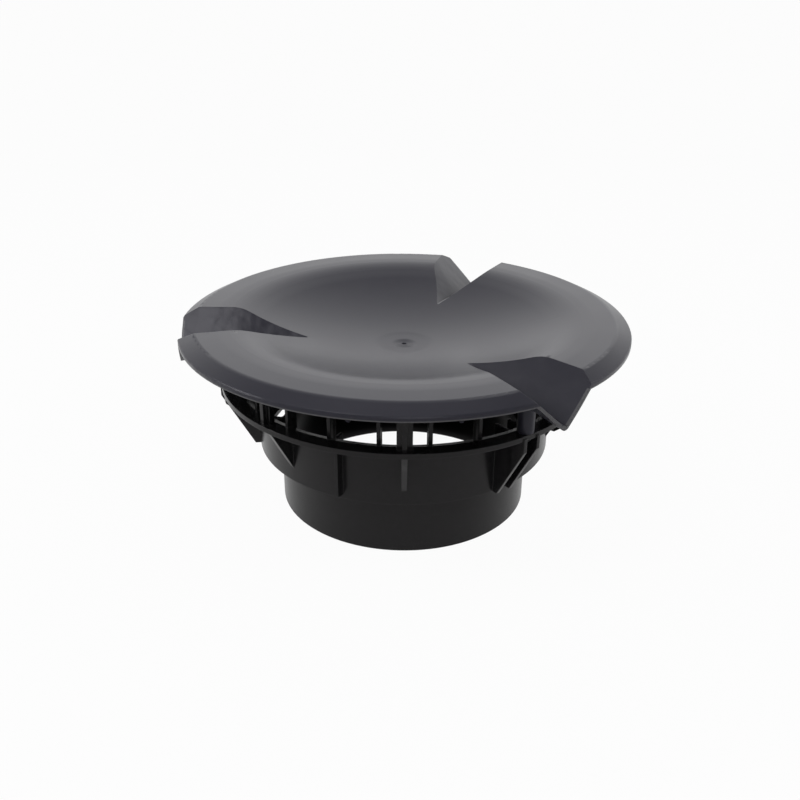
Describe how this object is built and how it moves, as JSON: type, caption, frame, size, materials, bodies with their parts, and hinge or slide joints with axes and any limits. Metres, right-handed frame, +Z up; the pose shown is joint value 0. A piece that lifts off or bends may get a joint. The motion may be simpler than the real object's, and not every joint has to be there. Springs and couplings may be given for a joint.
{
  "type": "ventilation roof cap",
  "caption": "Round roof vent terminal: a black duct base with stepped spigot and barred air outlet, under a dished grey rain cap with V-shaped drain troughs.",
  "frame": {"origin": "on the duct axis, at the lower end of the spigot", "axes": "+Z up along the duct axis; -Y is the side that faces the viewer"},
  "size_m": [0.217, 0.217, 0.0965],
  "materials": {
    "base": "semi-gloss black moulding",
    "cap": "satin dark grey moulding",
    "screws": "black-passivated steel"
  },
  "bodies": {
    "root": {"base": "base", "cap": "cap", "screws": "screws"}
  },
  "joints": []
}
